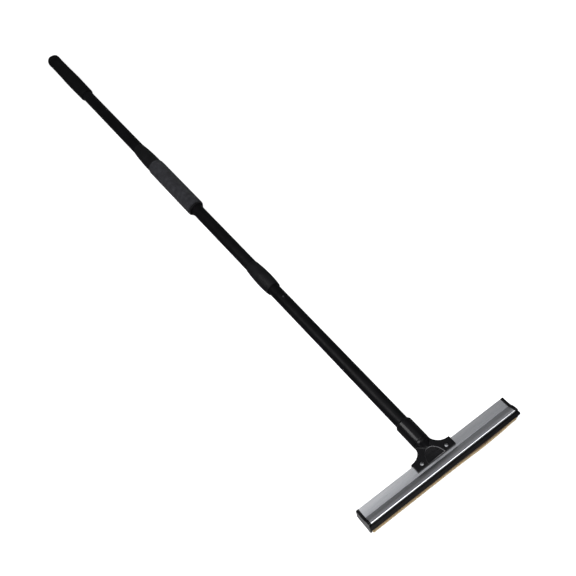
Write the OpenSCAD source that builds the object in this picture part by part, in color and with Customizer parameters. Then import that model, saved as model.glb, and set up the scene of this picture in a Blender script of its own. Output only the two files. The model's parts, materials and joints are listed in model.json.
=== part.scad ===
// Telescopic window cleaning squeegee with a netted scrubber sponge behind the blade.
// X runs along the blade, Y along the pole towards the user's end, Z out of the front face.
// The squeegee lies face up: its foam grip and the back of the sponge rest on Z = 0.
// Millimetres throughout.

/* [Head] */
// Length of the aluminium channel, end to end
channel_len = 311; // [250:1:455]
// Length of the rubber blade
blade_len = 317; // [256:1:461]
// How far the blade stands out of the channel
blade_reach = 7.6; // [4:0.2:12]
// Thickness of the blade's web
blade_t = 2.2; // [1.6:0.1:2.4]
// Distance between the two clamp screws
screw_pitch = 52; // [44:1:60]

/* [Pole] */
// Outside diameter of the upper tube, which the user holds
upper_od = 27.6; // [26.8:0.1:28.4]
// Radial play between one tube and the next one out
tube_play = 0.15; // [0.1:0.05:0.3]
// Wall thickness of each tube
tube_wall = 0.6; // [0.4:0.1:0.8]
// Diameter of the foam grip
foam_od = 38.4; // [36:0.2:42]
// Diameter of the rubber grip at the user's end
grip_od = 35.4; // [32:0.2:38]

/* [Lock] */
// Largest diameter of the twist collar
collar_od = 32.4; // [31.6:0.2:35]
// Number of finger ridges round the twist collar
collar_ridges = 6; // [3:1:8]
// Number of slots that split the collet into fingers
collet_slots = 4; // [3:1:6]
// Diameter of the release button
button_d = 4.4; // [3.5:0.1:5.5]

/* [Hanging eye] */
// Diameter of the hole that hangs the squeegee up
hang_d = 7.2; // [5:0.2:8]

/* [Hidden] */
$fn = 64;
gap = 0.05;              // play between pieces that are fixed to each other
run_play = 0.06;         // radial play of a piece that turns or slides

// Places along the pole, measured from the channel's pole-side edge
flange_w = 18.5;         // flat flange of the channel
crest_y = -32.6;         // ridge along the channel, above the blade
mouth_y = -34.3;         // blade side of the channel
blade_edge_y = mouth_y - blade_reach;
sleeve_y0 = 25;          // socket sleeve on the end of the pole
sleeve_y1 = 71;
lower_y0 = 34;           // lower tube
lower_y1 = 812;
journal_y0 = lower_y1 + 3;
journal_y1 = lower_y1 + 15.2;
button_y = 422;
collar_y0 = 458;         // twist collar
collar_y1 = 537;
mid_y0 = 470;            // middle tube
mid_y1 = 1250;
foam_y0 = 760;           // foam grip
foam_y1 = 944;
ferrule_y1 = 1026;       // tapered cuff above the foam grip
upper_y0 = 759;          // upper tube, which ends with the rubber grip
grip_y0 = 1312;          // rubber end grip
grip_y1 = 1516;
tip_y = 1540;            // far end of the pole

// Radii that follow from the driving sizes
upper_r = upper_od / 2;
upper_bore = upper_r - tube_wall;
mid_r = upper_bore - tube_play;
mid_bore = mid_r - tube_wall + 0.1;
lower_r = mid_bore - tube_play;
lower_bore = lower_r - tube_wall + 0.1;
foam_r = foam_od / 2;
grip_r = grip_od / 2;
collet_r = mid_r + 1;
cone_r0 = 6.2;           // small end of the expander's cone
cone_r1 = 8.2;
cone_len = 28;
journal_r = 8.2;         // journal that carries the slip ring
sleeve_r = 15.4;
neck_r = 15.2;
stub_r = 8;
stub_y0 = 14.5;
button_shoulder_z = lower_bore - 0.9;
button_stem = 2.5;       // below the shoulder, down to the spring
neck_y1 = sleeve_y0 - 0.8;

// Heights of the head's layers, measured from the pole's centre line
flange_front = 0.8;
flange_back = -1;
crest_z = 7.5;
jaw_t = 3.8;
jaw_front = flange_front + jaw_t;
jaw_back = flange_back - jaw_t;
bead_y = -30;            // round bead that holds the blade in the channel
bead_z = 2.7;
bead_r = 2.5;
slot_half = blade_t / 2 + 0.15;
carrier_t = 2.6;
carrier_y0 = -34.1;
carrier_y1 = -17;
carrier_screw_y = -21.5;
carrier_pitch = channel_len * 0.36;
sponge_y0 = -40.1;
sponge_back = -foam_r;
net_t = 0.6;
cap_plate = 2.8;         // end plate of a cap, beyond the channel
cap_lap = 3;             // how far an end cap reaches over the channel
cap_wall = 1.1;
cap_y0 = -37;
cap_y1 = 0.2;
cap_back = sponge_back + 0.3;
jaw_half = 40.7;
jaw_y0 = -15.4;
screw_y = -7.5;
screw_r = 2;
screw_hole_r = screw_r + 0.15;

// The whole part is centred on its own length, standing on Z = 0
mid_len = (tip_y + min(blade_edge_y, sponge_y0)) / 2;

// ---------- shared shapes ----------

// Moves a piece from the pole's own frame to the part's frame
module placed() translate([0, -mid_len, foam_r]) children();

// Stands a shape drawn along Z on the pole's centre line, from y upwards
module along_pole(y) translate([0, y, 0]) rotate([-90, 0, 0]) children();

// Round piece turned about the pole: points are [radius, y]
module turned(points) along_pole(0) rotate_extrude($fn = 96) polygon(points);

module tube(r_out, r_in, y0, y1)
    turned([[r_in, y0], [r_out, y0], [r_out, y1], [r_in, y1]]);

module rod(r, y0, y1) along_pole(y0) cylinder(h = y1 - y0, r = r, $fn = 96);

// Straight bar along X with a [y, z] outline, centred on X = 0
module bar_along_x(len, points)
    translate([-len / 2, 0, 0]) rotate([90, 0, 90]) linear_extrude(len) polygon(points);

// Block given by its lowest and highest corners
module block(low, high) translate(low) cube(high - low);

// ---------- upper section: what the hand holds ----------

// Dome that closes the pole, with flat cheeks where the hanging eye goes through
module end_cap() {
    dome_y = grip_y1 + gap;
    round_y = tip_y - 15;
    cheek_z = 12;
    eye_y = tip_y - 12;
    plug_y = 1509;
    steps = 14;
    outline = concat(
        [[0, plug_y], [upper_bore - gap, plug_y], [upper_bore - gap, dome_y], [grip_r - 0.4, dome_y]],
        [for (i = [0 : steps - 1]) let (a = 90 * i / steps)
            [(grip_r - 0.4) * cos(a), round_y + (tip_y - round_y) * sin(a)]],
        [[0, tip_y]]);
    color("#1b1b1d") placed() difference() {
        turned(outline);
        translate([0, eye_y, -foam_r]) cylinder(h = foam_od, d = hang_d);
        for (side = [-1, 1])
            block([-grip_r, dome_y + 4, side > 0 ? cheek_z : -foam_r],
                  [grip_r, tip_y + 1, side > 0 ? foam_r : -cheek_z]);
    }
}

// Soft rubber sleeve: fullest a third of the way along, chamfered at the pole side
module end_grip() color("#1c1c1e") placed() turned([
    [upper_r + gap, grip_y0], [upper_r + 1.2, grip_y0], [grip_r - 0.8, grip_y0 + 7],
    [grip_r - 0.5, grip_y0 + 30], [grip_r, grip_y0 + 75], [grip_r, grip_y0 + 105],
    [grip_r - 0.3, grip_y0 + 160], [grip_r - 0.4, grip_y1 - 1], [grip_r - 1.2, grip_y1],
    [upper_r + gap, grip_y1]]);

module upper_tube() color("#161618") placed() tube(upper_r, upper_bore, upper_y0, grip_y1);

// Smooth tapered cuff between the upper tube and the foam
module grip_ferrule() {
    steps = 12;
    lip_r = upper_r + 0.25;
    full_r = 17.5;
    rise_y = 950;
    // The cuff swells quickly off the tube and then runs level to the foam
    swell = [for (i = [0 : steps]) let (t = i / steps)
        [lip_r + (full_r - lip_r) * (1 - pow(1 - t, 2.4)), ferrule_y1 - (ferrule_y1 - rise_y) * t]];
    color("#1a1a1c") placed() turned(concat(
        [[upper_r + gap, ferrule_y1]], swell,
        [[full_r, foam_y1 + gap], [upper_r + gap, foam_y1 + gap]]));
}

// Closed-cell foam tube with softened ends
module foam_grip() {
    soft = 3;
    color("#34353a") placed() turned([
        [upper_r + gap, foam_y0], [foam_r - soft, foam_y0], [foam_r - soft * 0.3, foam_y0 + soft * 0.3],
        [foam_r, foam_y0 + soft], [foam_r, foam_y1 - 2 * soft],
        [foam_r - soft * 0.5, foam_y1 - soft * 0.5], [foam_r - soft, foam_y1], [upper_r + gap, foam_y1]]);
}

// Flanged plastic bush that ends the upper tube and steadies the middle tube
module grip_end_bush() color("#141416") placed() turned([
    [mid_r + run_play, 755.5], [foam_r - 4, 755.5], [foam_r - 3.2, 756.3], [foam_r - 3.2, foam_y0 - gap],
    [upper_r + gap, foam_y0 - gap], [upper_r + gap, upper_y0 - gap], [mid_r + run_play, upper_y0 - gap]]);

// ---------- middle section and its locks ----------

// Split sleeve that spreads against the bore of the upper tube
module expander_sleeve() color("#3a3a3c") placed() difference() {
    y0 = mid_y1 + 2;
    turned([[cone_r0 + 0.1, y0], [upper_bore - 0.1, y0], [upper_bore - 0.1, y0 + cone_len],
            [cone_r1 + 0.1, y0 + cone_len]]);
    block([-1, mid_y1, 0], [1, y0 + cone_len + 2, foam_r]);
}

// Cone on a plug in the end of the middle tube; turning the pole draws it into the sleeve
module expander_cone() {
    plug_y = mid_y1 - 25;
    foot_y = mid_y1 + 1.8;
    head_y = foot_y + cone_len + 0.7;
    head_r = 11;
    color("#4a4a4d") placed() turned([
        [0, plug_y], [mid_bore - gap, plug_y], [mid_bore - gap, mid_y1], [mid_r, mid_y1 + gap],
        [mid_r, foot_y], [cone_r0, foot_y], [cone_r1, head_y], [head_r, head_y],
        [head_r, head_y + 3.5], [0, head_y + 3.5]]);
}

module middle_tube() color("#18181a") placed() tube(mid_r, mid_bore, mid_y0, mid_y1 - gap);

// Collet on the end of the middle tube, slotted into fingers that close on the lower tube
module lock_collet() {
    finger_len = 30;
    color("#242427") placed() difference() {
        turned([[lower_r + run_play, collar_y0 + 2], [collet_r - 1, collar_y0 + 2],
                [collet_r, collar_y0 + 6], [collet_r, collar_y1 - 9], [mid_r + gap, collar_y1 - 9],
                [mid_r + gap, mid_y0 - gap], [lower_r + run_play, mid_y0 - gap]]);
        for (i = [0 : collet_slots - 1])
            rotate([0, 360 / collet_slots * (i + 0.5), 0])
                block([-0.8, collar_y0, lower_r - 1], [0.8, collar_y0 + finger_len, foam_r]);
    }
}

// Barrel-shaped twist collar with finger ridges on its lower half and an open, sharp lip
module lock_collar() {
    collar_r = collar_od / 2;
    foot_r = max(collar_r - 1.5, collet_r + 0.5);
    lip_r = mid_r + 0.45;
    full_at = 0.42;
    ridge = 0.3;
    ridge_y0 = collar_y0 + 5;
    ridge_y1 = collar_y0 + 38;
    pitch = (ridge_y1 - ridge_y0) / collar_ridges;
    // Radius of the smooth barrel at height y
    function barrel(y) = let (t = (y - collar_y0) / (collar_y1 - collar_y0))
        t < full_at ? collar_r - (collar_r - foot_r) * pow(1 - t / full_at, 2)
                    : collar_r - (collar_r - lip_r) * pow((t - full_at) / (1 - full_at), 2.2);
    ridged = [for (i = [0 : collar_ridges * 4]) let (y = ridge_y0 + pitch * i / 4)
        [barrel(y) + ridge * (1 - cos(90 * i)) / 2, y]];
    smooth = [for (i = [1 : 10]) let (y = ridge_y1 + (collar_y1 - ridge_y1) * i / 10) [barrel(y), y]];
    color("#232326") placed() turned(concat(
        [[collet_r + run_play, collar_y0], [barrel(collar_y0) - 0.3, collar_y0],
         [barrel(collar_y0), collar_y0 + 0.4]],
        ridged, smooth,
        [[mid_r + run_play, collar_y1], [mid_r + run_play, collar_y1 - 8.5],
         [collet_r + run_play, collar_y1 - 8.5]]));
}

// ---------- lower section ----------

// Slip ring that steadies the lower tube in the middle tube and lets it turn
module glide_ring() color("#d8d6cf") placed() difference() {
    tube(mid_bore - run_play, journal_r + 0.1, journal_y0 + 0.2, journal_y1 - 0.2);
    block([-0.7, lower_y1, 0], [0.7, journal_y1 + 5, foam_r]);
}

// Plug in the top of the lower tube, with the journal that carries the slip ring
module glide_plug() color("#3a3a3c") placed() turned([
    [0, lower_y1 - 18], [lower_bore - gap, lower_y1 - 18], [lower_bore - gap, lower_y1],
    [lower_r, lower_y1 + gap], [lower_r, journal_y0], [journal_r, journal_y0], [journal_r, journal_y1],
    [journal_r + 2.3, journal_y1], [journal_r + 2.3, journal_y1 + 2.8], [0, journal_y1 + 2.8]]);

module lower_tube() color("#151517") placed() difference() {
    tube(lower_r, lower_bore, lower_y0, lower_y1 - gap);
    translate([0, button_y, 0]) cylinder(h = foam_r, d = button_d + 0.4);
}

// Button flush with the tube, on a shoulder that stops it inside the wall
module release_button() {
    shoulder_t = 1;
    color("#8d8f93") placed() {
        intersection() {
            translate([0, button_y, button_shoulder_z - 0.2]) cylinder(h = 5, d = button_d);
            rod(lower_r - 0.02, button_y - 10, button_y + 10);
        }
        translate([0, button_y, button_shoulder_z - shoulder_t]) cylinder(h = shoulder_t, d = button_d + 2.2);
        translate([0, button_y, button_shoulder_z - shoulder_t - button_stem + 0.1])
            cylinder(h = button_stem, d = 2.6);
    }
}

// Bent leaf spring: one arm under the button, the other along the far wall of the tube
module button_spring() {
    leaf = 0.5;
    width = 5;
    arm_z = button_shoulder_z - 0.9 - button_stem - gap;
    far_z = -lower_bore + 1.2;
    bend_r = (arm_z - far_z) / 2;
    bend_y = button_y + 30;
    color("#8f9296") placed() {
        block([-width / 2, button_y - 4, arm_z - leaf], [width / 2, bend_y, arm_z]);
        block([-width / 2, button_y - 12, far_z], [width / 2, bend_y, far_z + leaf]);
        translate([-width / 2, bend_y, arm_z - bend_r]) rotate([0, 90, 0])
            intersection() {
                difference() {
                    cylinder(h = width, r = bend_r);
                    translate([0, 0, -1]) cylinder(h = width + 2, r = bend_r - leaf);
                }
                translate([-bend_r - 1, 0, -1]) cube([2 * bend_r + 2, bend_r + 1, width + 2]);
            }
    }
}

// Sleeve round the end of the pole, chamfered at its mouth
module socket_sleeve() color("#1d1d20") placed() turned([
    [lower_r + gap, sleeve_y0], [sleeve_r - 0.4, sleeve_y0], [sleeve_r, sleeve_y0 + 0.6],
    [sleeve_r, sleeve_y1 - 3], [sleeve_r - 1.9, sleeve_y1], [lower_r + gap, sleeve_y1]]);

// Metal plug in the lower tube, with a collar at its mouth and the ringed stub that the head grips
module thread_tip() {
    rings = 3;
    pitch = 2.4;
    collar_r = neck_r - 1.1;
    ringed = [for (i = [0 : rings * 2 - 1])
        [i % 2 == 0 ? stub_r : stub_r - 0.8, stub_y0 + 0.6 + pitch * i / 2]];
    color("#9a9c9f") placed() turned(concat(
        [[0, stub_y0], [stub_r - 0.6, stub_y0]], ringed,
        [[stub_r - 0.8, neck_y1 + gap], [collar_r, neck_y1 + gap], [collar_r, sleeve_y0 - gap],
         [lower_r, sleeve_y0 - gap], [lower_r, lower_y0 - gap], [lower_bore - gap, lower_y0 - gap],
         [lower_bore - gap, 64], [0, 64]]));
}

// ---------- head: the clamp that joins the pole to the channel ----------

// Outline of a jaw seen from the front: straight foot, short arms, concave shoulders
module jaw_outline() {
    shoulder_r = 24.5;
    shoulder = [38, 27.5];
    arm_top = shoulder[1] - shoulder_r;
    corner = 2;
    difference() {
        translate([-jaw_half, jaw_y0]) square([2 * jaw_half, 21.8 - jaw_y0]);
        for (side = [-1, 1]) {
            translate([side * shoulder[0], shoulder[1]]) circle(r = shoulder_r);
            translate([side > 0 ? shoulder[0] : -jaw_half - 1, arm_top])
                square([jaw_half + 1 - shoulder[0], 40]);
            // Rounded corners at the ends of the arm
            for (end = [[arm_top, 1], [jaw_y0, -1]])
                translate([side * jaw_half, end[0]]) difference() {
                    translate([-corner, -corner]) square(2 * corner);
                    translate([-side * corner, -end[1] * corner]) circle(r = corner);
                    translate([side > 0 ? -corner - 9 : corner, -9]) square([9, 18]);
                    translate([-9, end[1] > 0 ? -corner - 9 : corner]) square([18, 9]);
                }
        }
    }
}

// Solid of both jaws and the round neck before it is parted along the middle
module yoke_solid() {
    foot_y = 8.5;
    full_y = 18;
    chamfer = 0.7;
    translate([0, 0, jaw_back]) linear_extrude(jaw_front - jaw_back) jaw_outline();
    turned([[0, foot_y], [jaw_front, foot_y], [neck_r, full_y], [neck_r, neck_y1 - chamfer],
            [neck_r - chamfer, neck_y1], [0, neck_y1]]);
}

// What the yoke leaves free: the ringed stub, the channel's flange and the clamp screws
module yoke_hollows() {
    rod(stub_r + gap, stub_y0 - 0.2, neck_y1 + 1);
    block([-jaw_half - 1, jaw_y0 - 1, flange_back], [jaw_half + 1, 0.3, flange_front]);
    for (side = [-1, 1])
        translate([side * screw_pitch / 2, screw_y, -foam_r]) cylinder(h = foam_od, r = screw_hole_r);
}

// Half-moon outline of the blank panel on the front jaw: the top of an upright ellipse
module panel_outline(inset) {
    half = 19 - inset;
    centre_y = -21.4;
    crown = 30.6 - inset;
    foot = jaw_y0 + 0.6 + inset;
    start = asin((foot - centre_y) / crown);
    steps = 28;
    polygon([for (i = [0 : steps]) let (a = start + (180 - 2 * start) * i / steps)
        [half * cos(a), centre_y + crown * sin(a)]]);
}

module yoke_front() color("#1e1e20") placed() difference() {
    yoke_solid();
    yoke_hollows();
    block([-60, -30, -foam_r], [60, 40, gap / 2]);
    translate([0, 0, jaw_front - 0.8]) linear_extrude(12) panel_outline(0);
}

module yoke_back() color("#1c1c1e") placed() difference() {
    yoke_solid();
    yoke_hollows();
    block([-60, -30, -gap / 2], [60, 40, foam_r]);
}

// Blank half-moon panel, a little proud of the jaw
module yoke_panel() color("#111113") placed()
    translate([0, 0, jaw_front - 0.8]) linear_extrude(1.3) panel_outline(0.15);

// Two cross-recessed pan-head screws
module clamp_screws() {
    head_r = 3.8;
    head_h = 2.3;
    tail_z = jaw_back - 4.2;
    color("#c4c6c8") placed() for (side = [-1, 1])
        translate([side * screw_pitch / 2, screw_y, 0]) difference() {
            union() {
                translate([0, 0, tail_z]) cylinder(h = jaw_front - tail_z, r = screw_r);
                translate([0, 0, jaw_front]) rotate_extrude() polygon([
                    [0, 0], [head_r, 0], [head_r, head_h * 0.45], [head_r * 0.9, head_h * 0.75],
                    [head_r * 0.68, head_h * 0.95], [head_r * 0.4, head_h], [0, head_h]]);
            }
            for (turn = [0, 90]) rotate([0, 0, 40 + turn])
                translate([-2.2, -0.45, jaw_front + 1]) cube([4.4, 0.9, head_h]);
        }
}

// Hexagon nuts behind the back jaw
module clamp_nuts() color("#b4b6b8") placed() for (side = [-1, 1])
    translate([side * screw_pitch / 2, screw_y, jaw_back - 3.2]) difference() {
        cylinder(h = 3.2, d = 8.1, $fn = 6);
        translate([0, 0, -1]) cylinder(h = 6, r = screw_r + gap);
    }

// ---------- head: channel, blade and scrubber ----------

// Convex ramp from the flange to the crest in Y and Z: steep at first, nearly level at the crest
function ramp(grow) = [for (i = [0 : 9]) let (t = i / 9)
    [-flange_w + grow / 2 + (crest_y + flange_w - grow / 2) * t,
     flange_front + grow + (crest_z - flange_front) * (1 - pow(1 - t, 1.7))]];

// Nose of the channel, from the rounded crest down to the blade's mouth
function nose(grow) = [[crest_y - 1.2 - grow * 0.8, crest_z - 0.5 + grow / 2],
    [mouth_y - grow, crest_z - 1.6], [mouth_y - grow, flange_back]];

function channel_outline(grow) = concat(
    [[grow, flange_back - grow], [grow, flange_front + grow]], ramp(grow), nose(grow),
    [[mouth_y - grow, flange_back - grow]]);

// Extruded aluminium channel: flat flange, ramp, ridge and the round slot for the blade
module blade_channel() color("#b9bcc1") placed() difference() {
    bar_along_x(channel_len, channel_outline(0));
    translate([-channel_len / 2 - 1, bead_y, bead_z]) rotate([0, 90, 0])
        cylinder(h = channel_len + 2, r = bead_r + 0.2);
    block([-channel_len / 2 - 1, mouth_y - 1, bead_z - slot_half],
          [channel_len / 2 + 1, bead_y, bead_z + slot_half]);
    for (side = [-1, 1])
        translate([side * screw_pitch / 2, screw_y, -foam_r]) cylinder(h = foam_od, r = screw_hole_r);
    for (i = [-1 : 1])
        translate([i * carrier_pitch, carrier_screw_y, flange_back - 1]) cylinder(h = 3.5, r = 1.45);
}

// End cap: a side plate the full depth of the head, with a lap over the front of the channel
module channel_cap(side) {
    inner_x = channel_len / 2 - cap_lap;
    outer_x = channel_len / 2 + cap_plate;
    outline = concat(
        [[cap_y1, cap_back + 3], [cap_y1, flange_front + 0.3], [cap_y1 - 0.8, flange_front + cap_wall]],
        ramp(cap_wall), nose(cap_wall),
        [[cap_y0, flange_back - 1], [cap_y0, cap_back + 2], [cap_y0 + 2, cap_back],
         [cap_y1 - 3, cap_back]]);
    color("#17171a") placed() mirror([side < 0 ? 1 : 0, 0, 0]) difference() {
        translate([(inner_x + outer_x) / 2, 0, 0]) bar_along_x(outer_x - inner_x, outline);
        // Pocket for the channel, the blade's web and the parts behind the flange
        bar_along_x(channel_len + 2 * gap, channel_outline(gap));
        block([0, mouth_y - 9, -foam_r], [channel_len / 2 + gap, 9, flange_back + gap]);
        block([0, mouth_y - 9, bead_z - slot_half - gap],
              [outer_x + 1, mouth_y + gap, bead_z + slot_half + gap]);
    }
}
module channel_cap_left() channel_cap(-1);
module channel_cap_right() channel_cap(1);

// Rubber blade: a round bead in the channel and a flat web with a square wiping edge
module rubber_blade() {
    edge_r = 2.5;
    color("#0f0f10") placed() {
        translate([-channel_len / 2, bead_y, bead_z]) rotate([0, 90, 0])
            cylinder(h = channel_len, r = bead_r);
        block([-channel_len / 2, mouth_y - 0.25, bead_z - blade_t / 2],
              [channel_len / 2, bead_y, bead_z + blade_t / 2]);
        translate([0, 0, bead_z - blade_t / 2]) linear_extrude(blade_t) difference() {
            translate([-blade_len / 2, blade_edge_y]) square([blade_len, blade_reach - 0.25]);
            // Softened outer corners of the wiping edge
            for (side = [-1, 1]) translate([side * blade_len / 2, blade_edge_y]) difference() {
                translate([-edge_r, -edge_r]) square(2 * edge_r);
                translate([-side * edge_r, edge_r]) circle(r = edge_r);
                translate([side > 0 ? -edge_r - 9 : edge_r, -9]) square([9, 18]);
                translate([-9, edge_r]) square([18, 9]);
            }
        }
    }
}

// Plastic strip behind the channel that the sponge is glued to
module sponge_carrier() color("#19191b") placed() difference() {
    block([-channel_len / 2 + 4, carrier_y0, flange_back - carrier_t],
          [channel_len / 2 - 4, carrier_y1, flange_back]);
    for (i = [-1 : 1]) translate([i * carrier_pitch, carrier_screw_y, flange_back - carrier_t]) {
        translate([0, 0, -1]) cylinder(h = 6, r = 1.6);
        translate([0, 0, -0.01]) cylinder(h = 1.5, r1 = 3.1, r2 = 1.6);
    }
}

// Three countersunk screws that hold the carrier to the channel
module carrier_screws() color("#b0b2b5") placed() for (i = [-1 : 1])
    translate([i * carrier_pitch, carrier_screw_y, flange_back - carrier_t]) {
        translate([0, 0, 0.05]) cylinder(h = 1.4, r1 = 2.9, r2 = 1.4);
        translate([0, 0, 0.4]) cylinder(h = carrier_t + 1.4, r = 1.4);
    }

// Sponge between the end caps, with a lip that rises in front of the carrier, behind the blade
module sponge_shape(skin) {
    half = channel_len / 2 - 0.4 - net_t + skin;
    low = sponge_back + net_t - skin;
    front_y = sponge_y0 + net_t - skin;
    block([-half, front_y, low], [half, carrier_y1 - net_t + skin, flange_back - carrier_t]);
    block([-half, front_y, low], [half, carrier_y0 - 0.4, flange_back - net_t + skin]);
}
module scrubber_sponge() color("#d9b46a") placed() sponge_shape(0);

// Netting drawn over the back and front of the sponge
module sponge_net() color("#eadfc2") placed() difference() {
    sponge_shape(net_t);
    sponge_shape(0);
}

end_cap();
end_grip();
upper_tube();
grip_ferrule();
foam_grip();
grip_end_bush();
expander_sleeve();
expander_cone();
middle_tube();
lock_collet();
lock_collar();
glide_ring();
glide_plug();
lower_tube();
release_button();
button_spring();
socket_sleeve();
thread_tip();
yoke_front();
yoke_back();
yoke_panel();
clamp_screws();
clamp_nuts();
blade_channel();
channel_cap_left();
channel_cap_right();
rubber_blade();
sponge_carrier();
carrier_screws();
scrubber_sponge();
sponge_net();
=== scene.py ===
"""Looks of a telescopic window squeegee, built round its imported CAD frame. All lengths are in metres."""
import json
import math

import bmesh
import bpy
import numpy as np
from mathutils import Matrix, Vector


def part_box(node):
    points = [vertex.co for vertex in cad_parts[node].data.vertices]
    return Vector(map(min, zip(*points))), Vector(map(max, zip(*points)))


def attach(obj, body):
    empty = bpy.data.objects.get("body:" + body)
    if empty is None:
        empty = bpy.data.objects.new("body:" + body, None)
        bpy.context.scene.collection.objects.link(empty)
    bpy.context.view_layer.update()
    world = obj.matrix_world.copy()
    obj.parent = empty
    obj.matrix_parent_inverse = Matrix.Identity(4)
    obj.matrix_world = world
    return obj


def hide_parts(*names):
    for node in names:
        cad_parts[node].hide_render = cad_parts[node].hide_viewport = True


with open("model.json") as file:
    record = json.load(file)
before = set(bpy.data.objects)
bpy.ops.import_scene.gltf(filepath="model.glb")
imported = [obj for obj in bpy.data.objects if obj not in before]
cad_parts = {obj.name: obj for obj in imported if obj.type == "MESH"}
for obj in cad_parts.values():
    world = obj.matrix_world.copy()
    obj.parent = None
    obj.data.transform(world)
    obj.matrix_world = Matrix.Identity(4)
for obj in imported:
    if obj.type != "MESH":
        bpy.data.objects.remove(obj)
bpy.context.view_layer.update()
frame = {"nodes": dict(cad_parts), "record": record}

MM = 0.001
RECORD = frame["record"]
BODY_OF = {node: body for body, nodes in RECORD["behaviour"]["bodies"].items() for node in nodes}
SLOT_OF = {row["node"]: row["material_slot"] for row in RECORD["subparts"]}
POLE_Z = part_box("foam_grip")[1].z / 2          # height of the pole's centre line
CHANNEL_LOW, CHANNEL_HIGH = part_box("blade_channel")
HEAD_Y = CHANNEL_HIGH.y                        # pole-side edge of the channel
FIT = 0.05 * MM                                # gap on the radius between parts that fit together
RUNNING_FIT = 0.06 * MM                        # and between parts that slide or turn


# ---------------------------------------------------------------- materials

class Shader:
    """One Principled material and the procedural nodes that drive it."""

    def __init__(self, name, **constants):
        self.material = bpy.data.materials.new(name)
        self.material.use_nodes = True
        self.tree = self.material.node_tree
        self.surface = self.tree.nodes["Principled BSDF"]
        self.place = self.tree.nodes.new("ShaderNodeTexCoord").outputs["Object"]
        for socket, value in constants.items():
            self.surface.inputs[socket.replace("_", " ")].default_value = value

    def node(self, kind, **sockets):
        made = self.tree.nodes.new(kind)
        for socket, value in sockets.items():
            target = made.inputs[socket]
            if isinstance(value, bpy.types.NodeSocket):
                self.tree.links.new(value, target)
            else:
                target.default_value = value
        return made

    def stretched(self, scale):
        """The object's coordinates, scaled differently along each axis."""
        return self.node("ShaderNodeMapping", Vector=self.place, Scale=scale).outputs["Vector"]

    def noise(self, scale, detail=3.0, stretch=(1, 1, 1)):
        return self.node("ShaderNodeTexNoise", Vector=self.stretched(stretch), Scale=scale,
                         Detail=detail).outputs["Fac"]

    def cells(self, scale):
        return self.node("ShaderNodeTexVoronoi", Vector=self.place, Scale=scale).outputs["Distance"]

    def axis(self, name):
        """The object's own X, Y or Z coordinate, in metres."""
        return self.node("ShaderNodeSeparateXYZ", Vector=self.place).outputs[name]

    def arithmetic(self, operation, *values):
        made = self.node("ShaderNodeMath")
        made.operation = operation
        for value, socket in zip(values, made.inputs):
            self.tree.links.new(value, socket)
        return made.outputs["Value"]

    def between(self, factor, low, high, start=0.3, end=0.7):
        """A value that runs from low to high as the factor goes from start to end."""
        made = self.node("ShaderNodeMapRange", Value=factor)
        made.inputs["From Min"].default_value = start
        made.inputs["From Max"].default_value = end
        made.inputs["To Min"].default_value = low
        made.inputs["To Max"].default_value = high
        return made.outputs["Result"]

    def mix(self, factor, first, second):
        made = self.tree.nodes.new("ShaderNodeMix")
        made.data_type = "RGBA"
        self.tree.links.new(factor, made.inputs["Factor"])
        for socket, value in ((made.inputs[6], first), (made.inputs[7], second)):
            if isinstance(value, bpy.types.NodeSocket):
                self.tree.links.new(value, socket)
            else:
                socket.default_value = (*value, 1)
        return made.outputs[2]

    def colour(self, socket):
        self.tree.links.new(socket, self.surface.inputs["Base Color"])

    def roughness(self, socket):
        self.tree.links.new(socket, self.surface.inputs["Roughness"])

    def bump(self, *layers):
        """Each layer is (height, depth in metres); they are stacked in order."""
        normal = None
        for height, depth in layers:
            made = self.node("ShaderNodeBump", Height=height, Distance=depth)
            if normal:
                self.tree.links.new(normal, made.inputs["Normal"])
            normal = made.outputs["Normal"]
        self.tree.links.new(normal, self.surface.inputs["Normal"])


def tube_coating():
    """Satin black powder coat on steel: faint orange peel and slightly uneven gloss."""
    s = Shader("tube_coating", Specular_IOR_Level=0.09)
    cloud = s.noise(18, 4)
    s.colour(s.mix(s.between(cloud, 0, 1), (0.0022, 0.0022, 0.0026), (0.0048, 0.0048, 0.0056)))
    s.roughness(s.between(s.noise(60, 5), 0.32, 0.45))
    s.bump((s.noise(900, 2), 0.000035), (s.noise(5200, 1), 0.000008))
    return s.material


def grip_rubber():
    """Soft moulded rubber with a fine spark-eroded grain, a little polished by hands."""
    s = Shader("grip_rubber", Specular_IOR_Level=0.12)
    s.colour(s.mix(s.between(s.noise(30, 5), 0, 1), (0.0022, 0.0022, 0.0024), (0.005, 0.005, 0.0054)))
    s.roughness(s.between(s.noise(45, 4), 0.46, 0.62))
    s.bump((s.cells(1500), 0.00009), (s.noise(3800, 2), 0.00003))
    return s.material


def grip_foam():
    """Closed-cell foam: matte, mottled, with small open pores on its skin."""
    s = Shader("grip_foam", Specular_IOR_Level=0.08, Sheen_Weight=0.06, Sheen_Roughness=0.6)
    pores = s.cells(620)
    mottled = s.mix(s.between(s.noise(90, 6), 0, 1), (0.017, 0.0172, 0.020), (0.036, 0.0365, 0.042))
    s.colour(s.mix(s.between(pores, 0, 1, 0.05, 0.42), (0.008, 0.008, 0.0095), mottled))
    s.roughness(s.between(s.noise(200, 3), 0.82, 0.97))
    s.bump((s.between(pores, 0, 1, 0.0, 0.5), 0.00022), (s.noise(260, 5), 0.00025))
    return s.material


def black_plastic():
    """Moulded plastic with a fine grain."""
    s = Shader("black_plastic", Specular_IOR_Level=0.15)
    s.colour(s.mix(s.between(s.noise(50, 5), 0, 1), (0.004, 0.004, 0.0046), (0.0085, 0.0085, 0.0095)))
    s.roughness(s.between(s.noise(80, 4), 0.38, 0.52))
    s.bump((s.cells(2400), 0.00004), (s.noise(700, 3), 0.00002))
    return s.material


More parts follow.
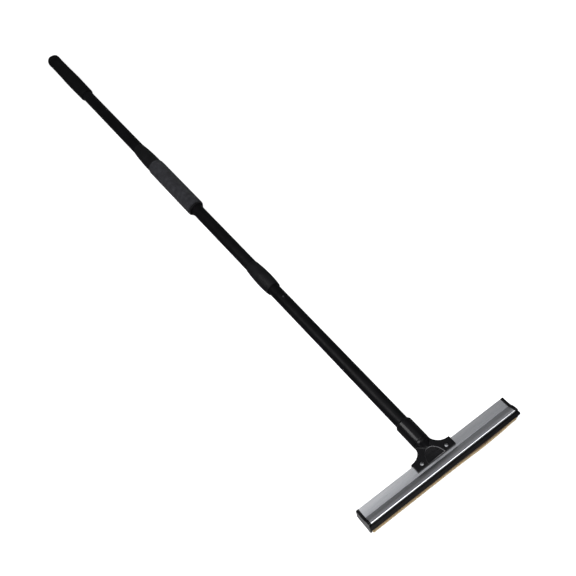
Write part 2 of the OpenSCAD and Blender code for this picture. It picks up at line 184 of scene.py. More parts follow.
def gloss_plastic():
    """Half-gloss moulding: flow marks, hairline scuffs, and a painted light-grey highlight on the end faces
    of the head's two caps.
    """
    s = Shader("gloss_plastic", Specular_IOR_Level=0.24)
    black = s.mix(s.between(s.noise(24, 4), 0, 1), (0.0022, 0.0022, 0.0027), (0.0048, 0.0048, 0.0056))
    painted_highlight = s.mix(s.between(s.noise(420, 5), 0, 1), (0.17, 0.17, 0.175), (0.28, 0.28, 0.285))
    reach, head_end = s.arithmetic("ABSOLUTE", s.axis("X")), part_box("channel_cap_right")[1].x
    end_face = s.between(reach, 0, 1, head_end - 0.4 * MM, head_end - 0.15 * MM)
    # Painted highlight: the outer end faces of both caps are coloured light grey, as if lit.
    s.colour(s.mix(end_face, black, painted_highlight))
    scuffs = s.noise(420, 3, (1, 0.06, 1))
    s.roughness(s.between(scuffs, 0.18, 0.27, 0.35, 0.7))
    s.bump((s.noise(1300, 2), 0.000014), (s.noise(160, 3), 0.00003))
    return s.material


def panel_plastic():
    """Smoother, darker plastic of the blank panel, with a painted pale highlight on its rim, on the right
    side.
    """
    s = Shader("panel_plastic", Specular_IOR_Level=0.2)
    panel_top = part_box("yoke_panel")[1].z
    black = s.mix(s.between(s.noise(60, 4), 0, 1), (0.003, 0.003, 0.0034), (0.0062, 0.0062, 0.007))
    on_right = s.between(s.axis("X"), 0, 1, -8 * MM, 3 * MM)
    painted_highlight = s.mix(on_right, (0.02, 0.02, 0.022), (0.15, 0.15, 0.155))
    on_rim = s.between(s.axis("Z"), 0, 1, panel_top - 0.15 * MM, panel_top + 0.1 * MM)
    # Painted highlight: the rim is coloured pale on its right side and stays dark on its left.
    s.colour(s.mix(on_rim, black, painted_highlight))
    s.roughness(s.between(s.noise(300, 4, (0.05, 1, 1)), 0.16, 0.28))
    s.bump((s.noise(900, 2), 0.00001))
    return s.material


def channel_aluminium():
    """Anodised extrusion, brushed along its length, with die lines and small handling marks."""
    s = Shader("channel_aluminium", Metallic=1.0, Anisotropic=0.45)
    fine = s.noise(1.0, 4, (14, 5200, 5200))
    die_lines = s.noise(1.0, 3, (1.5, 900, 900))
    cloud = s.noise(22, 5, (0.4, 1, 1))
    brushed = s.mix(s.between(fine, 0, 1, 0.25, 0.75), (0.74, 0.755, 0.78), (0.88, 0.895, 0.92))
    clouded = s.mix(s.between(cloud, 0, 0.5), brushed, (0.76, 0.77, 0.79))
    # Painted shade: the flange is coloured darker towards the ramp
    across = s.axis("Y")
    flange = s.between(across, 0, 1, HEAD_Y - 18 * MM, HEAD_Y - 4 * MM)
    ramp_side = s.between(across, 1, 0, HEAD_Y - 19.5 * MM, HEAD_Y - 18 * MM)
    unshaded = s.arithmetic("MAXIMUM", flange, ramp_side)
    s.colour(s.mix(unshaded, (0.47, 0.485, 0.51), clouded))
    s.roughness(s.between(fine, 0.24, 0.38, 0.2, 0.8))
    s.bump((fine, 0.000012), (die_lines, 0.00002))
    return s.material


def plated_steel():
    """Darkened zinc plating with a soft spangle, and painted shade in the screw recesses."""
    s = Shader("plated_steel", Metallic=1.0)
    spangle = s.cells(900)
    plating = s.mix(s.between(spangle, 0, 1, 0.1, 0.6), (0.26, 0.265, 0.28), (0.40, 0.405, 0.42))
    height, crown = s.axis("Z"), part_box("clamp_screws")[1].z
    below_crown = s.between(height, 1, 0, crown - 0.9 * MM, crown - 0.3 * MM)
    above_jaw = s.between(height, 0, 1, crown - 2.6 * MM, crown - 2.3 * MM)
    # Painted shade: below the crown the recesses are coloured near black.
    s.colour(s.mix(s.arithmetic("MULTIPLY", below_crown, above_jaw), plating, (0.012, 0.012, 0.013)))
    s.roughness(s.between(s.noise(500, 4), 0.26, 0.4))
    s.bump((s.noise(1600, 3), 0.00002))
    return s.material


def spring_steel():
    """Dark, oil-blued steel with rolling lines."""
    s = Shader("spring_steel", Metallic=1.0)
    rolled = s.between(s.noise(700, 3, (1, 0.05, 1)), 0, 1)
    s.colour(s.mix(rolled, (0.08, 0.083, 0.09), (0.13, 0.135, 0.145)))
    s.roughness(s.between(s.noise(300, 3), 0.25, 0.38))
    return s.material


def blade_rubber():
    """Smooth natural rubber with a faint bloom and pull marks along the blade."""
    s = Shader("blade_rubber", Specular_IOR_Level=0.12)
    bloom = s.noise(70, 6, (0.5, 1, 1))
    s.colour(s.mix(s.between(bloom, 0, 1), (0.0016, 0.0016, 0.0018), (0.0045, 0.0045, 0.005)))
    s.roughness(s.between(s.noise(1.0, 3, (30, 1400, 1400)), 0.38, 0.55))
    s.bump((s.noise(1.0, 3, (20, 1800, 1800)), 0.00002))
    return s.material


def white_nylon():
    """Slightly yellowed nylon."""
    s = Shader("white_nylon", Subsurface_Weight=0.1)
    s.colour(s.mix(s.between(s.noise(120, 4), 0, 1), (0.62, 0.60, 0.54), (0.76, 0.75, 0.70)))
    s.roughness(s.between(s.noise(200, 3), 0.35, 0.5))
    return s.material


def painted_blade_shadow(s, unshaded):
    """The colour with a painted shadow of the blade: darker brown towards the top, just under the blade."""
    under_blade = s.between(s.axis("Z"), 0, 1, POLE_Z * 0.4, POLE_Z * 0.88)
    return s.mix(under_blade, unshaded, (0.13, 0.048, 0.011))


def sponge():
    """Open-cell golden sponge: dark pores between pale cell walls, deeper colour in patches."""
    s = Shader("sponge", Specular_IOR_Level=0.1, Sheen_Weight=0.2)
    large, small = s.cells(420), s.cells(1150)
    patch = s.mix(s.between(s.noise(55, 5), 0, 1), (0.86, 0.56, 0.20), (0.94, 0.72, 0.36))
    walls = s.mix(s.between(small, 0, 1, 0.05, 0.4), (0.66, 0.38, 0.10), patch)
    # Painted shadow of the blade darkens the sponge towards its top.
    s.colour(painted_blade_shadow(s, s.mix(s.between(large, 0, 1, 0.04, 0.28), (0.30, 0.13, 0.028), walls)))
    s.roughness(s.between(s.noise(300, 3), 0.85, 1.0))
    s.bump((s.between(large, 0, 1, 0.0, 0.5), 0.0006), (small, 0.0003))
    return s.material


def netting():
    """Knitted polyester yarn: twisted plies, cream on top and golden where it is worn in."""
    s = Shader("netting", Specular_IOR_Level=0.25, Sheen_Weight=0.5, Sheen_Roughness=0.4)
    plies = s.cells(3200)
    worn = s.mix(s.between(s.noise(90, 4), 0, 1), (0.94, 0.78, 0.46), (0.98, 0.90, 0.70))
    # Painted shadow of the blade darkens the netting towards its top.
    s.colour(painted_blade_shadow(s, s.mix(s.between(plies, 0, 1, 0.1, 0.6), (0.78, 0.52, 0.22), worn)))
    s.roughness(s.between(s.noise(800, 2), 0.6, 0.8))
    s.bump((plies, 0.00012))
    return s.material


MATERIAL = {make.__name__: make() for make in (
    tube_coating, grip_rubber, grip_foam, black_plastic, gloss_plastic, panel_plastic,
    channel_aluminium, plated_steel, spring_steel, blade_rubber, white_nylon, sponge, netting)}


# ---------------------------------------------------------------- mesh tools

def mesh_object(name, verts, faces, sharp_degrees=32):
    """A closed mesh object with outward normals, smooth except at sharp edges."""
    mesh = bpy.data.meshes.new(name)
    mesh.from_pydata([tuple(v) for v in verts], [], faces)
    work = bmesh.new()
    work.from_mesh(mesh)
    bmesh.ops.remove_doubles(work, verts=work.verts, dist=1e-7)
    bmesh.ops.recalc_face_normals(work, faces=work.faces)
    work.to_mesh(mesh)
    work.free()
    made = bpy.data.objects.new(name, mesh)
    bpy.context.scene.collection.objects.link(made)
    shade(made, sharp_degrees)
    return made


def shade(piece, sharp_degrees):
    piece.data.polygons.foreach_set("use_smooth", [True] * len(piece.data.polygons))
    piece.data.set_sharp_from_angle(angle=math.radians(sharp_degrees))


def settle(piece, sharp_degrees):
    """Applies every modifier of the piece to its mesh."""
    bpy.context.view_layer.update()
    graph = bpy.context.evaluated_depsgraph_get()
    mesh = bpy.data.meshes.new_from_object(piece.evaluated_get(graph))
    piece.modifiers.clear()
    piece.data = mesh
    shade(piece, sharp_degrees)
    return piece


def bevelled(piece, width, sharp_degrees):
    """Rounds the piece's sharp edges to that width."""
    bevel = piece.modifiers.new("edges", "BEVEL")
    bevel.width = width
    bevel.segments = 3
    bevel.limit_method = "ANGLE"
    return settle(piece, sharp_degrees)


def join(name, *parts):
    """One object that holds the meshes of all parts, which are removed."""
    work = bmesh.new()
    for part in parts:
        work.from_mesh(part.data)
        bpy.data.objects.remove(part)
    mesh = bpy.data.meshes.new(name)
    work.to_mesh(mesh)
    work.free()
    made = bpy.data.objects.new(name, mesh)
    bpy.context.scene.collection.objects.link(made)
    return made


def mould(piece, voxel, passes):
    """Fuses overlapping closed shapes and rounds their edges, as a moulding's edges are."""
    remesh = piece.modifiers.new("fuse", "REMESH")
    remesh.mode = "VOXEL"
    remesh.voxel_size = voxel
    smooth = piece.modifiers.new("soften", "SMOOTH")
    smooth.factor = 0.5
    smooth.iterations = passes
    return settle(piece, 50)


def cut(piece, *cutters, sharp_degrees=40):
    """Takes the cutters' shapes away from the piece, and removes the cutters."""
    for cutter in cutters:
        boolean = piece.modifiers.new("cut", "BOOLEAN")
        boolean.operation = "DIFFERENCE"
        boolean.solver = "EXACT"
        boolean.object = cutter
    settle(piece, sharp_degrees)
    for cutter in cutters:
        bpy.data.objects.remove(cutter)
    return piece


def stands_for(piece, node):
    """The piece rides on the node's body, is shown in place of it, and takes its material."""
    piece.data.materials.clear()
    piece.data.materials.append(MATERIAL[SLOT_OF[node]])
    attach(piece, BODY_OF[node])
    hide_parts(node)
    return piece


def rounded(points, radius, steps=5):
    """A closed outline with its corners rounded. radius is one number, or one per point."""
    radii = radius if isinstance(radius, (list, tuple)) else [radius] * len(points)
    outline = []
    for i, here in enumerate(points):
        p = Vector(here)
        back, on = Vector(points[i - 1]) - p, Vector(points[(i + 1) % len(points)]) - p
        turn = back.angle(on)
        if radii[i] <= 0 or turn > math.radians(176):
            outline.append(tuple(p))
            continue
        reach = min(radii[i] / math.tan(turn / 2), back.length * 0.49, on.length * 0.49)
        start, end = p + back.normalized() * reach, p + on.normalized() * reach
        for k in range(steps + 1):
            t = k / steps
            outline.append(tuple(start * (1 - t) ** 2 + p * 2 * t * (1 - t) + end * t ** 2))
    return outline


def bands(rings, count):
    """The quads between rings of count points each."""
    faces = []
    for near in range(0, (rings - 1) * count, count):
        far = near + count
        faces += [(near + i, near + (i + 1) % count, far + (i + 1) % count, far + i) for i in range(count)]
    return faces


def ends(rings, count):
    """A flat face over the first ring and one over the last."""
    last = (rings - 1) * count
    return [tuple(range(count)), tuple(range(last, last + count))]


def lathe(name, profile, segments=144, sharp_degrees=32, radius_change=None, closed=True):
    """A ring turned about the pole from a closed outline of (radius, y), or a solid from an open one."""
    verts, faces, count = [], [], len(profile)
    for i in range(segments):
        angle = 2 * math.pi * i / segments
        for r, y in profile:
            if radius_change:
                r += radius_change(r, y, angle)
            verts.append((r * math.sin(angle), y, POLE_Z + r * math.cos(angle)))
    for i in range(segments):
        j = (i + 1) % segments
        for k in range(count if closed else count - 1):
            m = (k + 1) % count
            faces.append((i * count + k, i * count + m, j * count + m, j * count + k))
    return mesh_object(name, verts, faces, sharp_degrees)


def post(name, centre, profile):
    """A solid turned about a vertical axis. Its profile starts on the axis at the foot and ends on it."""
    verts, faces, count, segments = [], [], len(profile), 64
    for i in range(segments):
        angle = 2 * math.pi * i / segments
        for r, z in profile:
            verts.append((centre[0] + r * math.cos(angle), centre[1] + r * math.sin(angle), z))
    for i in range(segments):
        j = (i + 1) % segments
        for k in range(count - 1):
            faces.append((i * count + k, j * count + k, j * count + k + 1, i * count + k + 1))
    return mesh_object(name, verts, faces, 32)


def pin(name, centre, radius, low, high):
    return post(name, centre, [(0, low), (radius, low), (radius, high), (0, high)])


def prism(name, outline, low, high, axis="x", sharp_degrees=32):
    """A straight bar with that outline: (y, z) points for axis x, (x, y) points for axis z."""
    def corner(p, depth):
        return (depth, p[0], p[1]) if axis == "x" else (p[0], p[1], depth)
    count = len(outline)
    verts = [corner(p, depth) for depth in (low, high) for p in outline]
    faces = [(k, (k + 1) % count, count + (k + 1) % count, count + k) for k in range(count)]
    faces += [tuple(range(count)), tuple(range(2 * count - 1, count - 1, -1))]
    return mesh_object(name, verts, faces, sharp_degrees)


def block(name, low, high):
    return prism(name, [(low[0], low[1]), (high[0], low[1]), (high[0], high[1]), (low[0], high[1])],
                 low[2], high[2], axis="z")


def tube_profile(node):
    """Outline of a plain tube as long and as thick as the node, with softened edges."""
    low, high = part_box(node)
    r, bore = high.x, high.x - TUBE_WALL
    return rounded([(bore, low.y), (r, low.y), (r, high.y), (bore, high.y)], TUBE_EDGE, 3)


def along(start, end, steps):
    return [start + (end - start) * i / steps for i in range(steps + 1)]


# ---------------------------------------------------------------- the pole

UPPER_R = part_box("upper_tube")[1].x
MIDDLE_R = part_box("middle_tube")[1].x
LOWER_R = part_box("lower_tube")[1].x
TUBE_WALL = 0.55 * MM
TUBE_EDGE = 0.2 * MM
BUTTON_R = 2.2 * MM


def tubes():
    for node, name in (("upper_tube", "upper_tube_steel"), ("middle_tube", "middle_tube_steel")):
        stands_for(lathe(name, tube_profile(node)), node)
    button_low, button_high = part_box("release_button")
    centre = (button_low + button_high) / 2
    hole = pin("button_hole", (0, centre.y), BUTTON_R + 0.2 * MM, POLE_Z, POLE_Z * 2)
    lower = lathe("lower_tube_steel", tube_profile("lower_tube"))
    stands_for(cut(lower, hole), "lower_tube")


def end_cap():
    """Dome with two flat cheeks and the hanging eye through them."""
    low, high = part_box("end_cap")
    r, tip = high.x, high.y
    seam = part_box("end_grip")[1].y + FIT
    round_y = tip - 15 * MM
    plug = UPPER_R - 0.7 * MM
    dome = [(r * math.cos(a), round_y + (tip - round_y) * math.sin(a)) for a in along(0, math.pi / 2, 24)]
    side = [(0, low.y), (plug, low.y), (plug, seam), (r - 0.5 * MM, seam), (r, seam + 0.5 * MM)]
    cap = lathe("pole_dome", side + dome, segments=128, closed=False)
    eye_y, eye_r, cheek, flare = tip - 12 * MM, 3.6 * MM, 12 * MM, 1.3 * MM
    upper_half = [(eye_r, cheek - flare), (eye_r + flare, cheek + 0.01 * MM), (eye_r + cheek, 2 * cheek),
                  (0, 2 * cheek)]
    eye = post("eye", (0, eye_y), [(q, POLE_Z - z) for q, z in reversed(upper_half)]
               + [(q, POLE_Z + z) for q, z in upper_half])
    wide, past_tip, outside = r * 1.2, tip + 5 * MM, r * 1.5
    sides = ((POLE_Z + cheek, POLE_Z + outside), (POLE_Z - outside, POLE_Z - cheek))
    cheeks = [block("cheek", (-wide, seam + 4 * MM, z0), (wide, past_tip, z1)) for z0, z1 in sides]
    cut(cap, eye, *cheeks)
    stands_for(mould(cap, 0.45 * MM, 5), "end_cap")


def end_grip():
    """Soft sleeve, fullest a third of the way along, with a moulded ring at each end."""
    low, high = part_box("end_grip")
    full, y0, y1 = high.x, low.y, high.y
    bore = UPPER_R + FIT

    def radius(t):
        swell = math.sin(math.pi * min(t * 1.25, 1.0)) ** 2
        return full - 0.85 * MM + 0.85 * MM * swell

    side = [(radius(t), y0 + 7 * MM + (y1 - y0 - 8 * MM) * t) for t in along(0, 1, 40)]
    mouth = [(bore, y0), (UPPER_R + 1.2 * MM, y0), (full - 1.2 * MM, y0 + 5.6 * MM)]
    end = [(full - 1.3 * MM, y1 - 0.1 * MM), (bore, y1 - 0.1 * MM)]
    profile = rounded(mouth, 0.6 * MM, 3) + side + end
    # A shallow ring groove near each end
    for centre in (y0 + 13 * MM, y1 - 7 * MM):
        def groove(r, y):
            return 0.35 * MM * math.exp(-((y - centre) / (0.8 * MM)) ** 2) if r > bore + MM else 0

        profile = [(r - groove(r, y), y) for r, y in densify(profile, 0.5 * MM, centre, 4 * MM)]
    stands_for(lathe("end_grip_sleeve", profile), "end_grip")


def densify(profile, step, centre, reach):
    """Adds points to the outline's long runs near one place along the pole."""
    result = []
    for i, (r, y) in enumerate(profile):
        result.append((r, y))
        next_r, next_y = profile[(i + 1) % len(profile)]
        near = min(y, next_y) < centre + reach and max(y, next_y) > centre - reach
        pieces = int(abs(next_y - y) / step) if near and abs(next_y - y) < 20 * MM else 0
        result += [(r + (next_r - r) * k / pieces, y + (next_y - y) * k / pieces) for k in range(1, pieces)]
    return result


def grip_ferrule():
    low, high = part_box("grip_ferrule")
    bore, full = UPPER_R + FIT, high.x
    rise = high.y - 76 * MM
    lip = UPPER_R + 0.25 * MM
    swell = [(lip + (full - lip) * (1 - (1 - t) ** 2.4), high.y - (high.y - rise) * t)
             for t in along(0, 1, 36)]
    profile = [(bore, high.y - 0.2 * MM), (bore + 0.1 * MM, high.y)] + swell
    profile += [(full, low.y + 0.3 * MM), (full - 0.3 * MM, low.y), (bore, low.y)]
    stands_for(lathe("grip_ferrule_cuff", profile), "grip_ferrule")


def foam_grip():
    """Foam tube: soft shoulders and a slightly uneven skin."""
    low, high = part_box("foam_grip")
    full, bore = high.x, UPPER_R + FIT
    shoulder = 3.2 * MM
    outer = [(full - shoulder * (1 - math.sin(a)), low.y + shoulder * (1 - math.cos(a)))
             for a in along(0, math.pi / 2, 6)]
    outer += [(full, y) for y in along(low.y + 2 * shoulder, high.y - 3 * shoulder, 90)]
    outer += [(full - shoulder * (1 - math.cos(a)), high.y - 2 * shoulder * (1 - math.sin(a)))
              for a in along(0, math.pi / 2, 8)]
    profile = [(bore, low.y)] + outer + [(bore, high.y)]

    def uneven(r, y, angle):
        if r < bore + MM:
            return 0
        slow = math.sin(31 * y + 2 * angle) * math.sin(47 * y - 3 * angle + 1)
        quick = 0.6 * math.sin(210 * y + 5 * angle)
        return -0.12 * MM * (1.6 + slow + quick) / 3.2

    foam = stands_for(lathe("foam_grip_sleeve", profile, radius_change=uneven), "foam_grip")


def grip_end_bush():
    low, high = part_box("grip_end_bush")
    flange, bore = high.x, MIDDLE_R + RUNNING_FIT
    step_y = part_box("foam_grip")[0].y - FIT
    inner_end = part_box("upper_tube")[0].y - FIT
    profile = rounded([(bore, low.y), (flange, low.y), (flange, step_y), (UPPER_R, step_y),
                       (UPPER_R, inner_end), (bore, inner_end)],
                      [0.4 * MM, 1.1 * MM, 0.3 * MM, 0, 0, 0], 4)
    stands_for(lathe("grip_end_ring", profile), "grip_end_bush")


def lock_collar():
    """Barrel with four pads of finger ridges on its lower half and a sharp open lip."""
    low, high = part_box("lock_collar")
    y0, y1 = low.y, high.y
    full = high.x - 0.3 * MM
    neck = MIDDLE_R + RUNNING_FIT
    throat, step_y, waist = neck + MM, y1 - 8.5 * MM, 0.42

    def barrel(y):
        t = (y - y0) / (y1 - y0)
        if t < waist:
            return full - 1.5 * MM * (1 - t / waist) ** 2
        return full - (full - MIDDLE_R - 0.45 * MM) * ((t - waist) / (1 - waist)) ** 2.2

    ridge_start, ridge_end, ridges = y0 + 5 * MM, y0 + 38 * MM, 7
    outer = [(barrel(y), y) for y in along(y0 + 0.4 * MM, y1 - 0.4 * MM, 150)]
    profile = [(throat, y0), (barrel(y0) - 0.5 * MM, y0)] + outer
    profile += [(barrel(y1) - 0.25 * MM, y1), (neck, y1), (neck, step_y), (throat, step_y)]

    def ridged(r, y, angle):
        if r < throat + 0.6 * MM or not ridge_start < y < ridge_end:
            return 0
        pad = min(max((math.cos(4 * (angle + 0.55)) + 0.55) / 0.35, 0), 1)
        wave = math.sin(math.pi * ridges * (y - ridge_start) / (ridge_end - ridge_start)) ** 2
        return pad * (wave * 0.55 - 0.25) * MM

    stands_for(lathe("lock_collar_barrel", profile, radius_change=ridged, sharp_degrees=40), "lock_collar")


def release_button():
    """Flush round button: its top follows the tube's curve, with a softened rim."""
    low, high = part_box("release_button")
    centre_y = (low.y + high.y) / 2
    rings, segments = 10, 48
    verts = []
    for k in range(rings + 1):
        rho = BUTTON_R * min(k / (rings - 1), 1)
        for i in range(segments):
            a = 2 * math.pi * i / segments
            x, y = rho * math.cos(a), centre_y + rho * math.sin(a)
            top = POLE_Z + math.sqrt(LOWER_R ** 2 - x ** 2)
            drop = 0.28 * MM * max(0, k / rings - 0.6) ** 2 * 6
            verts.append((x, y, high.z - 1.5 * MM if k == rings else top - drop))
    foot = ends(rings + 1, segments)[1]
    stands_for(mesh_object("stop_button", verts, bands(rings + 1, segments) + [foot]), "release_button")


def socket_sleeve():
    low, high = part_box("socket_sleeve")
    r, bore, mouth = high.x, LOWER_R + FIT, high.x - 1.9 * MM
    profile = rounded([(bore, low.y), (r, low.y), (r, high.y - 3 * MM), (mouth, high.y), (bore, high.y)],
                      [0, 0.7 * MM, 0.8 * MM, 0.5 * MM, 0.2 * MM], 5)
    stands_for(lathe("socket_sleeve_ring", profile), "socket_sleeve")


def thread_tip():
    """Bright collar in the groove between sleeve and yoke, with the stub below it."""
    low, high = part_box("thread_tip")
    sleeve_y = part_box("socket_sleeve")[0].y
    collar, plug, stub, core = LOWER_R + 0.6 * MM, LOWER_R - 0.6 * MM, 7.6 * MM, 4 * MM
    foot_y, top_y = sleeve_y - 0.75 * MM, sleeve_y - FIT
    profile = rounded([(core, low.y), (stub, low.y), (stub, foot_y), (collar, foot_y), (collar, top_y),
                       (plug, top_y), (plug, high.y), (core, high.y)], 0.2 * MM, 3)
    stands_for(lathe("thread_collar", profile), "thread_tip")


# ---------------------------------------------------------------- the yoke

FLANGE_FRONT = POLE_Z + 0.8 * MM
FLANGE_BACK = POLE_Z - 1.0 * MM
JAW_T = 3.8 * MM
JAW_FRONT = FLANGE_FRONT + JAW_T
JAW_BACK = FLANGE_BACK - JAW_T
SCREW_XY = [(side * 26 * MM, HEAD_Y - 7.5 * MM) for side in (-1, 1)]
NECK_R = 15.2 * MM
WAIST_R = NECK_R - 1.0 * MM
RING_LEN = 4.4 * MM
PARTING = 0.03 * MM        # gap between the jaws, each way, and round the flange
FAR = 30 * MM              # past everything at the head, for the shapes that cut it


def jaw_outline():
    """Straight foot, short arms and concave shoulders that sweep up to the round neck."""
    low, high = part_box("yoke_front")
    half, foot, arm = high.x, low.y, HEAD_Y + 3.0 * MM
    centre = (38 * MM, HEAD_Y + 27.5 * MM)
    radius = 24.5 * MM
    top = HEAD_Y + 21 * MM
    end_angle = math.asin((top - centre[1]) / radius)
    right = [(half, foot), (half, arm)]
    radii = [2.2 * MM, 3.4 * MM]
    for a in along(-math.pi / 2, -math.pi - end_angle, 26):
        right.append((centre[0] + radius * math.cos(a), centre[1] + radius * math.sin(a)))
        radii.append(0)
    left = [(-x, y) for x, y in reversed(right)]
    return rounded(right + left, radii + radii[::-1], 6)


def yoke_body(name, top_z, bottom_z):
    """The plate and the round neck of both jaws, fused and softened before they are parted."""
    neck_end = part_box("yoke_front")[1].y
    plate = prism("plate", jaw_outline(), bottom_z, top_z, axis="z")
    foot_y, full_y, foot_r = HEAD_Y + 5 * MM, neck_end - RING_LEN, 4.2 * MM
    blend = [(foot_r + (WAIST_R - foot_r) * t ** 1.5, foot_y + (full_y - foot_y) * t)
             for t in along(0, 1, 20)]
    inner = [(WAIST_R - MM, neck_end - 0.4 * MM), (MM, neck_end - 0.4 * MM)]
    neck = lathe("neck", [(MM, foot_y)] + blend + inner, segments=160)
    axis, wide, y0, y1 = 0.0001 * MM, 2 * MM, foot_y + MM, neck_end - 0.2 * MM
    core = lathe("core", [(axis, y0), (wide, y0), (wide, y1), (axis, y1)], segments=24)
    return mould(join(name, plate, neck, core), 0.42 * MM, 7)


def other_half(keep_front):
    """A block over everything on the far side of the joint between the two jaws."""
    low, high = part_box("yoke_front")
    wide = high.x + 5 * MM
    z0, z1 = (POLE_Z - FAR, POLE_Z + PARTING) if keep_front else (POLE_Z - PARTING, POLE_Z + FAR)
    return block("half", (-wide, low.y - FAR, z0), (wide, high.y + FAR, z1))


def yoke_cutters(keep_front):
    """Shapes that part the two jaws and make room for the channel's flange and the screws."""
    low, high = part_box("yoke_front")
    wide = high.x + 5 * MM
    slot = block("slot", (-wide, low.y - MM, FLANGE_BACK - PARTING),
                 (wide, HEAD_Y + 0.3 * MM, FLANGE_FRONT + PARTING))
    holes = [pin("hole", xy, 2.15 * MM, POLE_Z - FAR, POLE_Z + FAR) for xy in SCREW_XY]
    return [other_half(keep_front), slot] + holes


def panel_outline(inset):
    """The top of an upright ellipse, cut off by a straight foot."""
    half, crown = 19 * MM - inset, 30.6 * MM - inset
    centre_y = HEAD_Y - 21.4 * MM
    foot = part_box("yoke_front")[0].y + 0.6 * MM + inset
    start = math.asin((foot - centre_y) / crown)
    return [(half * math.cos(a), centre_y + crown * math.sin(a)) for a in along(start, math.pi - start, 60)]


def neck_ring(keep_front):
    """Half of the raised ring at the top of the neck."""
    end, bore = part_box("yoke_front")[1].y, 9 * MM
    foot = end - RING_LEN
    outline = [(bore, foot), (WAIST_R, foot), (NECK_R, foot + 0.4 * MM), (NECK_R, end), (bore, end)]
    profile = rounded(outline, [0, 0, 0.2 * MM, 0.3 * MM, 0], 4)
    return cut(lathe("ring", profile, segments=160), other_half(keep_front))


def yoke():
    recess = prism("recess", panel_outline(-FIT), JAW_FRONT - 0.8 * MM, JAW_FRONT + 9 * MM, axis="z")
    for node, keep_front, more in (("yoke_front", True, [recess]), ("yoke_back", False, [])):
        jaw = cut(yoke_body("moulding", JAW_FRONT, JAW_BACK), *yoke_cutters(keep_front), *more)
        jaw = join(node + "_jaw", jaw, neck_ring(keep_front))
        shade(jaw, 40)
        stands_for(jaw, node)


def yoke_panel():
    """Blank half-moon panel with a thin raised rim."""
    # Each ring's inset and its height over the jaw, in mm
    rings = [(0.15, -0.8), (0.15, 0.1), (0.35, 0.55), (0.75, 0.8), (1.15, 0.6), (1.4, 0.25), (1.9, 0.15)]
    verts = [(x, y, JAW_FRONT + rise * MM) for inset, rise in rings for x, y in panel_outline(inset * MM)]
    count = len(verts) // len(rings)
    faces = bands(len(rings), count) + ends(len(rings), count)
    stands_for(mesh_object("blank_panel", verts, faces, 60), "yoke_panel")


def clamp_screws():
    """Pan-head screws with a tapered cross recess."""
    head_r, head_h, shank_r = 3.85 * MM, 2.3 * MM, 2 * MM
    arm, arm_half = 2.6 * MM, 0.85 * MM
    tail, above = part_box("clamp_screws")[0].z, JAW_FRONT + 4 * MM
    screws = []
    for n, (x, y) in enumerate(SCREW_XY):
        crown = [(head_r * math.cos(a) ** 0.75, JAW_FRONT + head_h * (0.28 + 0.72 * math.sin(a)))
                 for a in along(0, math.pi / 2 * 0.98, 12)]
        shank = [(0, tail), (1.6 * MM, tail), (shank_r, tail + 0.5 * MM), (shank_r, JAW_FRONT),
                 (head_r - 0.25 * MM, JAW_FRONT + 0.02 * MM), (head_r, JAW_FRONT + 0.25 * MM)]
        screw = post("screw", (x, y), shank + crown[1:] + [(0, JAW_FRONT + head_h)])
        turn = math.radians(40 + 35 * n)
        recess = []
        for a in (turn, turn + math.pi / 2):
            placed = [(x + u * math.cos(a) - v * math.sin(a), y + u * math.sin(a) + v * math.cos(a))
                      for u, v in ((-arm, -arm_half), (arm, -arm_half), (arm, arm_half), (-arm, arm_half))]
            recess.append(prism("cross", placed, JAW_FRONT + 0.2 * MM, above, axis="z"))
        recess.append(post("pit", (x, y), [(0, JAW_FRONT - 0.6 * MM), (1.3 * MM, JAW_FRONT - 0.4 * MM),
                                           (2.0 * MM, above), (0, above)]))
        screws.append(cut(screw, *recess))
    heads = join("cross_screws", *screws)
    shade(heads, 35)
    stands_for(heads, "clamp_screws")


def clamp_nuts():
    """Hexagon nuts with chamfered corners."""
    low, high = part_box("clamp_nuts")
    corner_r, bore_r = 4.05 * MM, 2.05 * MM
    nuts = []
    for x, y in SCREW_XY:
        hexagon = [(x + corner_r * math.cos(a), y + corner_r * math.sin(a))
                   for a in along(0, 5 * math.pi / 3, 5)]
        nut = bevelled(prism("nut", hexagon, low.z, high.z, axis="z"), 0.35 * MM, 40)
        nuts.append(cut(nut, pin("bore", (x, y), bore_r, low.z - MM, high.z + MM)))
    both = join("hexagon_nuts", *nuts)
    shade(both, 35)
    stands_for(both, "clamp_nuts")


# ---------------------------------------------------------------- channel, caps and blade

BEAD = (HEAD_Y - 30 * MM, POLE_Z + 2.7 * MM)     # centre of the blade's bead, in y and z
CREST = (HEAD_Y - 32.6 * MM, POLE_Z + 7.5 * MM)
MOUTH_Y = CHANNEL_LOW.y
RAMP_START = HEAD_Y - 18.5 * MM
BLADE_T = 2.2 * MM


def ramp(grow, steps=24):
    """Convex sweep from the flange up to the foot of the crest's bead."""
    start, end = RAMP_START + grow / 2, CREST[0] + 2.9 * MM
    rise = CREST[1] - FLANGE_FRONT - 1.0 * MM
    return [(start + (end - start) * t, FLANGE_FRONT + grow + rise * (1 - (1 - t) ** 1.45))
            for t in along(0, 1, steps)]


def nose(grow):
    """Over the rounded bead along the crest and down to the blade's mouth."""
    r = 2.35 * MM
    centre_y, centre_z = CREST[0] + 0.1 * MM, CREST[1] - r + grow / 2
    bead = [(centre_y - (r + grow * 0.6) * math.sin(a), centre_z + r * math.cos(a))
            for a in along(-0.85, math.pi / 2, 16)]
    return bead + [(MOUTH_Y - grow, CREST[1] - 2.6 * MM)]


def keyhole(radius, half_slot):
    """Round the blade's bead from one side of the mouth to the other."""
    open_angle = math.asin(half_slot / radius)
    return [(BEAD[0] + radius * math.cos(a), BEAD[1] + radius * math.sin(a))
            for a in along(math.pi - open_angle, -math.pi + open_angle, 40)]


